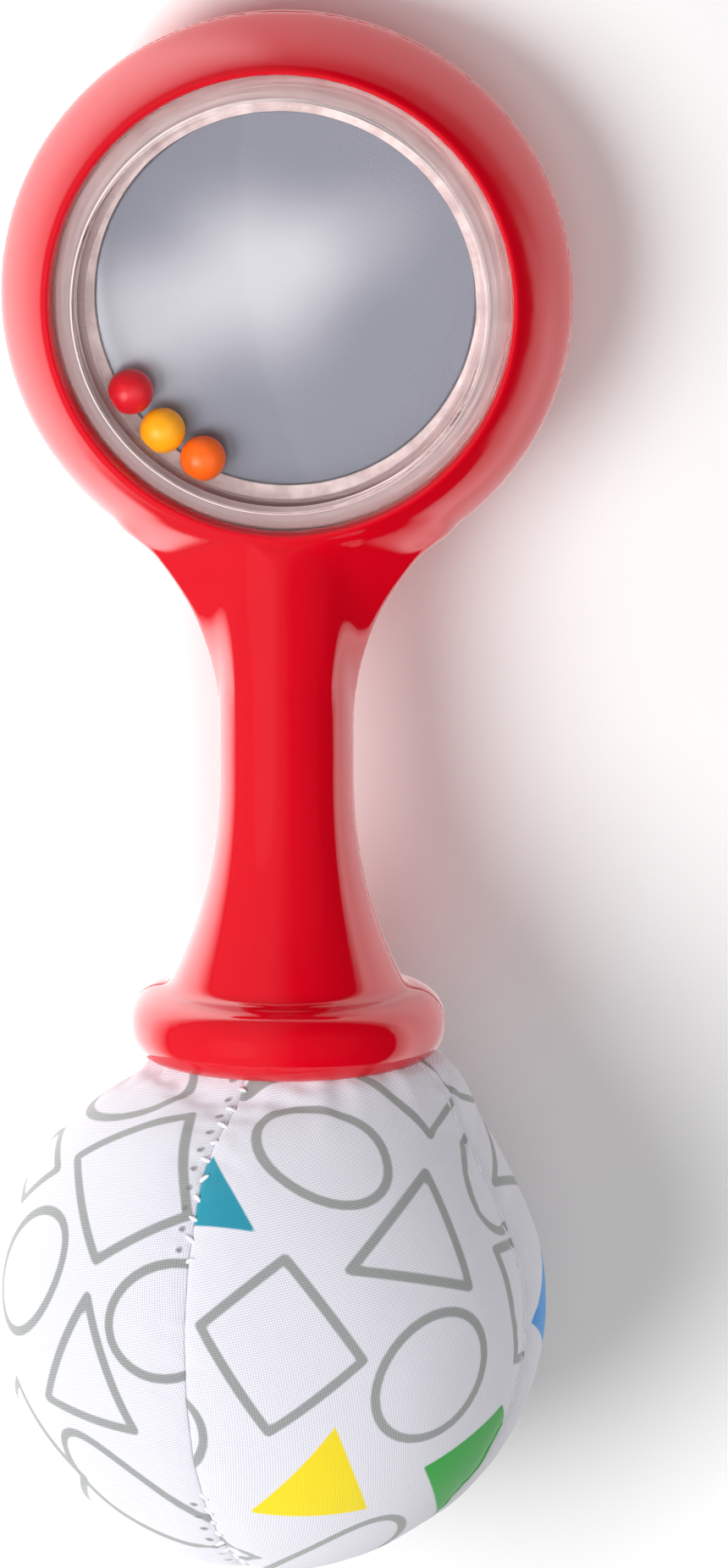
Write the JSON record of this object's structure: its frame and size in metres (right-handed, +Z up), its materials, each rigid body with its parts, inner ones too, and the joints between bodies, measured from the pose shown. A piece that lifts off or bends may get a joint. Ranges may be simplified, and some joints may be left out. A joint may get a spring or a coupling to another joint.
{
  "type": "baby rattle",
  "caption": "Hand-held rattle with a round mirrored head behind a clear window, loose beads, a slim moulded grip and a sewn fabric ball at the other end",
  "frame": {"origin": "on the ground under the middle of the bounding box, with the rattle lying on its back", "axes": "+X to the right as seen from above, +Y along the rattle towards the head, +Z up"},
  "size_m": [0.0584, 0.1594, 0.0545],
  "materials": {
    "red_abs": "gloss moulded ABS",
    "clear_window": "clear polished plastic",
    "mirror_film": "mirrored acrylic",
    "pale_tray": "translucent white moulded plastic",
    "bead_red": "satin moulded plastic",
    "bead_yellow": "satin moulded plastic",
    "bead_orange": "satin moulded plastic",
    "anchor_white": "natural moulded plastic",
    "ball_fabric": "woven polyester, printed",
    "sewing_thread": "spun polyester thread",
    "fibre": "lofty polyester fibre",
    "film": "thin crackling film"
  },
  "bodies": {
    "root": {"front_shell": "red_abs", "rear_shell": "red_abs", "window_lens": "clear_window", "mirror_disc": "mirror_film", "mirror_carrier": "pale_tray", "ball_anchor": "anchor_white", "mouth_tie": "sewing_thread", "fibre_fill": "fibre", "crinkle_film": "film", "ball_panel_front": "ball_fabric", "ball_panel_right": "ball_fabric", "ball_panel_back": "ball_fabric", "ball_panel_left": "ball_fabric", "seam_thread_front_left": "sewing_thread", "seam_thread_front_right": "sewing_thread", "seam_thread_back_right": "sewing_thread", "seam_thread_back_left": "sewing_thread"},
    "red_bead": {"bead_red": "bead_red"},
    "yellow_bead": {"bead_yellow": "bead_yellow"},
    "orange_bead": {"bead_orange": "bead_orange"}
  },
  "joints": [
    {"name": "red_bead_round_wall", "type": "hinge", "parent": "root", "child": "red_bead", "pos_m": [0, 0.05128, 0.01528], "axis": [0, 0.145, 0.9894], "range_deg": [-110, 0]},
    {"name": "orange_bead_round_wall", "type": "hinge", "parent": "root", "child": "orange_bead", "pos_m": [0, 0.05128, 0.01528], "axis": [0, 0.145, 0.9894], "range_deg": [0, 115]},
    {"name": "yellow_bead_across_mirror", "type": "slide", "parent": "root", "child": "yellow_bead", "axis": [0.673, 0.7318, -0.1072], "range_m": [0, 0.0366]}
  ]
}
